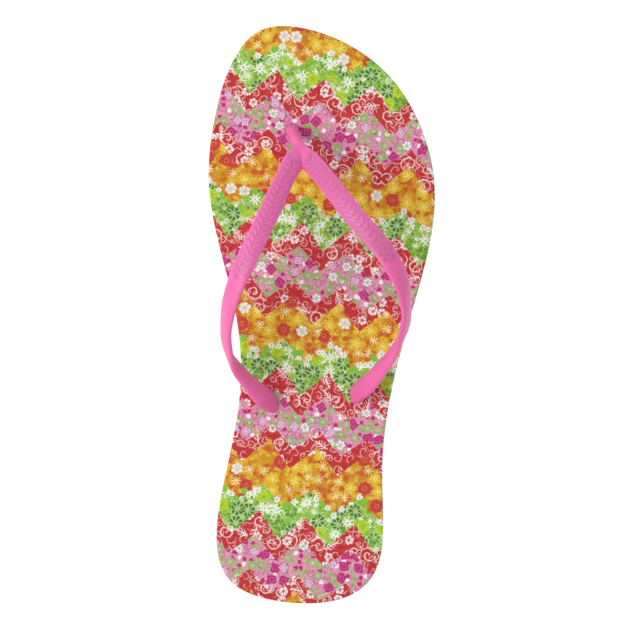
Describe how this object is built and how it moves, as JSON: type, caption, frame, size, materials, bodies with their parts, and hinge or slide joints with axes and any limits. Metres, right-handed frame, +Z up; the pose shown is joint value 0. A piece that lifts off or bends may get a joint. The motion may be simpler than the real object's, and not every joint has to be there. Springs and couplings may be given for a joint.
{
  "type": "flip-flop",
  "caption": "Right-foot flip-flop: flat foam-rubber sole with a printed footbed and a moulded Y-shaped thong strap with a toe post.",
  "frame": {"origin": "on the ground, below the middle of the sole's bounding box", "axes": "+Y from heel to toe, +Z up, +X to the outer (little-toe) side of this right shoe"},
  "size_m": [0.1, 0.255, 0.0583],
  "materials": {
    "outsole_rubber": "matte off-white foam rubber",
    "printed_footbed": "matte foam with an orange, green, red and pink chevron print",
    "strap_rubber": "satin pink rubber, herringbone emboss on the outer face"
  },
  "bodies": {
    "root": {"outsole": "outsole_rubber", "footbed": "printed_footbed", "strap": "strap_rubber"}
  },
  "joints": []
}
